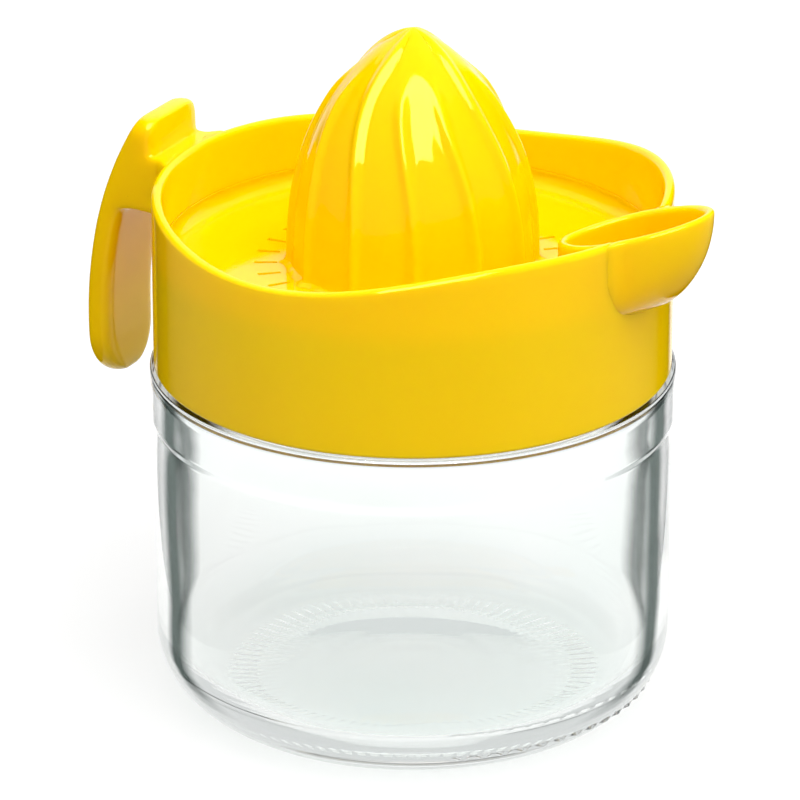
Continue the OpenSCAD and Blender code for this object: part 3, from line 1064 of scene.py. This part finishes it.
class JUICER_OT_reamer_cone(bpy.types.Operator):
    """Lofts the hollow reamer cone with its swung ridges"""

    bl_idname = "juicer.reamer_cone"
    bl_label = "Reamer cone"

    columns = 360
    levels = 90
    hollow_levels = 30

    # Share of the height at which the tip closes, and how the levels crowd towards it
    tip_t = 0.9995
    crowding = 0.25
    hollow_power = 0.7

    # Short ridges between two long ones, where they fade, how sharp a ridge is and how it swings
    minors = 2
    minor_fade = (0.72, 0.88)
    sharpness = 2.2
    swing_power = 3

    def execute(self, context):
        reamer = context.scene.juicer_reamer
        self.floor_z = reamer_low.z + reamer.floor_t
        self.height = reamer_high.z - self.floor_z
        bm = bmesh.new()
        loft(bm, self.outside(reamer) + self.inside(reamer))
        make_piece(bm, "reamer_cone", "reamer", "reamer_strainer", "yellow_plastic")
        return {"FINISHED"}

    def ridge(self, reamer, a, r, t):
        """Share of a ridge's height at an angle round the axis, before the swing."""
        ridges = reamer.majors * (self.minors + 1)
        spacing = FULL_TURN / ridges
        nearest = round(a / spacing)
        off = (a - nearest * spacing) * max(r, 3 * reamer.ridge_w) / reamer.ridge_w
        rise = 1 if nearest % (self.minors + 1) == 0 else 1 - smooth_step(*self.minor_fade, t)
        return rise * math.exp(-self.sharpness * off**2)

    def outside(self, reamer):
        """Rings from the tip down to the floor, and in under it."""
        rings = []
        last, crowding = self.levels - 1, self.crowding
        for k in range(self.levels):
            t = self.tip_t * (1 - (k / last) ** 2 * crowding - (1 - crowding) * k / last)
            rings.append(self.ring(reamer, t))
        sunk = self.floor_z - reamer.floor_t / 2
        foot = [Vector((p.x, p.y, sunk)) for p in rings[-1]]
        low = [around(seam_r(reamer), polar(p)[1], reamer_low.z) for p in foot]
        return rings + [foot, low]

    def ring(self, reamer, t):
        """One ring of the ridged outside, at a share t of the height."""
        z = self.floor_z + self.height * t
        flare = fillet_flare(z - self.floor_z, reamer.foot_round)
        r = reamer.cone_r * cone_share(reamer, t)
        depth = min(reamer.ridge_h, r / 4)
        swing = reamer.swing * math.sin(HALF_TURN * t**self.swing_power)
        ring = []
        for i in range(self.columns):
            a = FULL_TURN * i / self.columns
            valley = depth * (1 - self.ridge(reamer, a, r, t))
            ring.append(around(r - valley + flare, a - swing, z))
        return ring

    def inside(self, reamer):
        """Rings of the smooth hollow, from its foot up to its tip."""
        foot = reamer.cone_r - reamer.ridge_h - reamer.cone_wall
        height = self.height - 2 * reamer.cone_wall
        sizes = [(foot, reamer_low.z)]
        for k in range(self.hollow_levels + 1):
            t = self.tip_t * (k / self.hollow_levels) ** self.hollow_power
            sizes.append((foot * cone_share(reamer, t), self.floor_z + height * t))
        turns = [FULL_TURN * i / self.columns for i in range(self.columns)]
        return [[around(r, a, z) for a in turns] for r, z in sizes]


class JUICER_OT_strainer_floor(bpy.types.Operator):
    """Spins the strainer floor round the spout's throat and opens its slots"""

    bl_idname = "juicer.strainer_floor"
    bl_label = "Strainer floor"

    wedges = 11
    edge = 0.07 * MM

    # Half the angle that is left open for the notch, how far its fit reaches, and where the slots start
    notch_a = math.radians(15)
    warp_a = math.radians(30)
    slots_from = math.radians(36)

    # Distances of the rows from the notch's inner end
    notch_rows = [step * MM for step in (0, 0.12, 0.5, 1.2, 2.4, 4.2, 6.6, 9.4)]

    # Room for an angle at the open ends, and the search for the notch's sides
    angle_slack = 0.0001
    search_from = math.radians(60)
    halvings = 40

    def execute(self, context):
        self.reamer = context.scene.juicer_reamer
        self.spout = context.scene.juicer_spout
        self.floor_z = reamer_low.z + self.reamer.floor_t
        self.notch_r = self.spout.throat_x - self.reamer.gap
        bm = bmesh.new()
        self.spin_open(bm)
        self.fit_throat(bm)
        close_up(bm)
        self.open_slots(bm)
        close_up(bm)
        make_piece(bm, "strainer_floor", "reamer", "reamer_strainer", "yellow_plastic")
        return {"FINISHED"}

    def outline(self):
        """The floor's outline: underside outwards, raised edge, upper side inwards."""
        reamer, edge = self.reamer, self.edge
        inner = seam_r(reamer)
        low, top = reamer_low.z, self.floor_z
        lip_z, lip_r = top + reamer.floor_round, reamer.edge_r - reamer.floor_lip
        runs = [reamer.slot_r, reamer.slot_r + reamer.slot_len]
        runs += [self.notch_r + row for row in self.notch_rows]
        corners = [
            (inner, low, 0),
            *[(r, low, 0) for r in runs],
            (reamer.edge_r, low, edge),
            (reamer.edge_r, lip_z, edge),
            (lip_r, lip_z, edge),
            (lip_r, top, reamer.floor_round - edge),
            *[(r, top, 0) for r in reversed(runs)],
            (inner, top, 0),
        ]
        return rounded(corners)

    def spin_open(self, bm):
        """Spins the outline almost all the way round, and caps its ends past the notch's inner end."""
        order = bm.verts.layers.int.new("order")
        for i, v in enumerate(draw_outline(bm, self.outline(), closed=True, turned=self.notch_a)):
            v[order] = i
        sweep = FULL_TURN - 2 * self.notch_a
        spin_round(bm, round(math.degrees(sweep)), sweep, self.wedges)
        for end in (self.notch_a, FULL_TURN - self.notch_a):
            at_end = [v for v in bm.verts if abs(polar(v.co)[1] - end) < self.angle_slack]
            cap = [v for v in at_end if polar(v.co)[0] > self.notch_r - MERGE]
            bm.faces.new(sorted(cap, key=lambda v: v[order]))

    def half_angle(self, r):
        """Half the angle that the notch opens at a distance from the axis."""
        if r < self.notch_r + MERGE:
            return 0
        low, high = self.search_from, HALF_TURN
        for _ in range(self.halvings):
            a = (low + high) / 2
            x, y = spout_point(self.spout, a, -self.reamer.gap, self.spout.tip_x, 2)
            low, high = (a, high) if math.hypot(x, y) > r else (low, a)
        return math.atan2(y, x)

    def fit_throat(self, bm):
        """Turns the columns near the notch so that its sides follow the throat."""
        for v in bm.verts:
            r, a = polar(v.co)
            off = min(a, FULL_TURN - a)
            if off < self.warp_a:
                half = self.half_angle(r)
                share = (off - self.notch_a) / (self.warp_a - self.notch_a)
                turned = half + share * (self.warp_a - half)
                v.co = around(r, turned if a < HALF_TURN else -turned, v.co.z)

    def open_slots(self, bm):
        """Takes the slots' faces out of both sides and walls them in between."""
        reamer = self.reamer
        spacing = FULL_TURN / reamer.slot_count
        gone = []
        for face in bm.faces:
            middle = face.calc_center_median()
            r, a = polar(middle)
            off = abs((a / spacing) % 1 - 0.5) * spacing
            in_ring = reamer.slot_r < r < reamer.slot_r + reamer.slot_len
            if in_ring and off < reamer.slot_a / 2 and self.slots_from < a < FULL_TURN - self.slots_from:
                gone.append(face)
        bmesh.ops.delete(bm, geom=gone, context="FACES")
        rims = [e for e in bm.edges if e.is_boundary and e.verts[0].co.z > self.floor_z - MERGE]
        made = bmesh.ops.extrude_edge_only(bm, edges=rims)["geom"]
        for v in of_kind(made, BMVert):
            v.co.z = reamer_low.z


class JUICER_OT_stage(bpy.types.Operator):
    """Lays the floor, hangs the lamps and sets the camera"""

    bl_idname = "juicer.stage"
    bl_label = "Stage"

    # Each lamp's name, its angle to the right of the camera and its height above the horizon, in degrees
    lamps = (("top", 20, 78), ("key", 38, 45), ("rear", 122, 20), ("box", 0, 51))
    sensor = 36

    # The floor's size and drop under the foot, its darker grain, and its share of light thrown and shown
    floor_r = 6
    floor_segments = 96
    floor_drop = 0.02 * MM
    floor_grain = 0.985
    thrown_share = 0.36
    shown_share = 0.4

    # A card's width and height, its place behind and above the foot, its tones and its two fades
    card_size = (0.24, 0.2)
    card_place = (0.03, 0.1)
    card_tones = (0.004, 0.008)
    card_front = (0, 0.5)
    card_rear = (0.7, 0.84)

    def execute(self, context):
        stage = context.scene.juicer_stage
        context.scene.view_settings.view_transform = "Standard"
        self.lay_floor(context)
        self.light_world(context.scene, stage)
        aim = Vector((0, 0, stage.aim_z))
        for name, turned, raised in self.lamps:
            direction = self.back(stage.azimuth + math.radians(turned), math.radians(raised))
            self.hang_lamp(context, name, stage, aim, direction)
        for side in (-1, 1):
            self.stand_card(stage, side)
        self.set_camera(context, stage, aim)
        return {"FINISHED"}

    def back(self, azimuth, elevation):
        """Direction from the object to a camera or lamp."""
        flat = math.cos(elevation)
        return Vector((math.sin(azimuth) * flat, -math.cos(azimuth) * flat, math.sin(elevation)))

    def shown(self, graph):
        """1 for what the camera sees directly, mirrored or through glass, and 0 for light on its way."""
        camera, glossy, through = graph.rays("Is Camera Ray", "Is Glossy Ray", "Is Transmission Ray")
        return graph.maths("MINIMUM", camera + glossy + through, 1)

    def lay_floor(self, context):
        """A pale floor that glows towards the camera, so that only a faint shadow shows on it."""
        material, graph, place = new_material("floor")
        pale = context.scene.juicer_finish.floor
        shown = self.shown(graph)
        grain = graph.noise(place, scale=40, detail=3)
        tone = graph.blend(grain, pale, [self.floor_grain * x for x in pale])
        thrown = [self.thrown_share * x for x in pale]
        cast = graph.blend(shown, thrown, [self.shown_share * x for x in pale])
        matt = graph.wire("BsdfDiffuse", Color=cast, Roughness=0.5)
        glow = context.scene.juicer_stage.floor_glow * shown
        lit = graph.wire("Emission", Color=tone, Strength=glow)
        graph.node("OutputMaterial", Surface=graph.wire("AddShader", _0=matt, _1=lit))
        bm = bmesh.new()
        bmesh.ops.create_circle(bm, cap_ends=True, segments=self.floor_segments, radius=self.floor_r)
        floor = link_mesh(bm, "floor", material)
        floor.location.z = -self.floor_drop

    def light_world(self, scene, stage):
        """White surroundings that light the object less than they show."""
        world = bpy.data.worlds.new("studio")
        scene.world = world
        world.use_nodes = True
        graph = Graph(world.node_tree)
        strength = stage.world + (1 - stage.world) * self.shown(graph)
        surface = graph.wire("Background", Color=(1, 1, 1), Strength=strength)
        graph.node("OutputWorld", Surface=surface)

    def hang(self, context, name, data, place, direction):
        """A lamp or camera at a place, looking against a direction."""
        hung = bpy.data.objects.new(name, data)
        hung.location = place
        hung.rotation_mode = "QUATERNION"
        hung.rotation_quaternion = (-direction).to_track_quat("-Z", "Y")
        context.scene.collection.objects.link(hung)
        return hung

    def hang_lamp(self, context, name, stage, aim, direction):
        """A soft lamp: the box shows only in reflections, and the others in none."""
        is_box = name == "box"
        light = bpy.data.lights.new(name, "AREA")
        light.shape = "SQUARE"
        light.energy = getattr(stage, name + "_power")
        light.size = stage.box_size if is_box else stage.lamp_size
        lamp = self.hang(context, name, light, aim + direction * stage.lamp_distance, direction)
        lamp.visible_diffuse = not is_box
        lamp.visible_glossy = is_box
        lamp.visible_transmission = False

    def stand_card(self, stage, side):
        """A dark card beside the object, which only reflections show."""
        material, graph, place = new_material("card")
        low, high = [(tone, tone, tone) for tone in self.card_tones]
        dark = graph.blend(graph.noise(place, scale=40, detail=3), low, high)
        along = graph.wire("SeparateXYZ", "Y", Vector=graph.wire("TexCoord", "Generated"))
        fade = graph.ranged(along, *self.card_front) * (1 - graph.ranged(along, *self.card_rear))
        matt = graph.wire("BsdfDiffuse", Color=dark)
        surface = graph.mix(fade, graph.wire("BsdfTransparent"), matt)
        graph.node("OutputMaterial", Surface=surface)
        quarter = HALF_TURN / 2
        bm = bmesh.new()
        bmesh.ops.create_grid(bm, x_segments=1, y_segments=1, size=0.5)
        bmesh.ops.scale(bm, vec=(*self.card_size, 1), verts=bm.verts)
        bmesh.ops.rotate(bm, matrix=Matrix.Rotation(quarter, 3, "X"), verts=bm.verts)
        bmesh.ops.rotate(bm, matrix=Matrix.Rotation(quarter, 3, "Z"), verts=bm.verts)
        bmesh.ops.translate(bm, vec=(side * stage.card_off, *self.card_place), verts=bm.verts)
        bmesh.ops.rotate(bm, matrix=Matrix.Rotation(stage.azimuth, 3, "Z"), verts=bm.verts)
        card = link_mesh(bm, "card", material)
        card.visible_camera = card.visible_diffuse = card.visible_shadow = False
        card.visible_transmission = False

    def set_camera(self, context, stage, aim):
        """The camera, at its angles round and above the point that it looks at."""
        back = self.back(stage.azimuth, stage.elevation)
        lens = bpy.data.cameras.new("camera")
        lens.lens = stage.lens
        lens.sensor_width = self.sensor
        lens.shift_x, lens.shift_y = stage.shift_x, stage.shift_y
        context.scene.camera = self.hang(context, "camera", lens, aim + back * stage.distance, back)


PIECES = (
    JUICER_OT_stage,
    JUICER_OT_glass_jar,
    JUICER_OT_sealing_gasket,
    JUICER_OT_collar_wall,
    JUICER_OT_pouring_spout,
    JUICER_OT_handle_strap,
    JUICER_OT_reamer_cone,
    JUICER_OT_strainer_floor,
)


class JUICER_PT_sidebar(bpy.types.Panel):
    """Lists the juicer's pieces and sizes"""

    bl_idname = "JUICER_PT_sidebar"
    bl_label = "Citrus juicer"
    bl_space_type = "VIEW_3D"
    bl_region_type = "UI"
    bl_category = "Juicer"

    def draw(self, context):
        for piece in PIECES:
            self.layout.operator(piece.bl_idname)
        for name, group in GROUPS.items():
            box = self.layout.box()
            box.label(text=group.__doc__.rstrip("."))
            for size in group.__annotations__:
                box.prop(getattr(context.scene, name), size)


def register():
    """Adds the sizes, the operators and the panel."""
    for name, group in GROUPS.items():
        bpy.utils.register_class(group)
        setattr(bpy.types.Scene, name, PointerProperty(type=group))
    for piece in PIECES:
        bpy.utils.register_class(piece)
    bpy.utils.register_class(JUICER_PT_sidebar)


def unregister():
    """Takes them out again."""
    bpy.utils.unregister_class(JUICER_PT_sidebar)
    for piece in reversed(PIECES):
        bpy.utils.unregister_class(piece)
    for name, group in reversed(GROUPS.items()):
        delattr(bpy.types.Scene, name)
        bpy.utils.unregister_class(group)


def main():
    """Registers the add-on and builds stage and pieces."""
    register()
    for piece in PIECES:
        getattr(bpy.ops.juicer, piece.bl_idname.split(".")[1])()


if __name__ == "__main__":
    main()
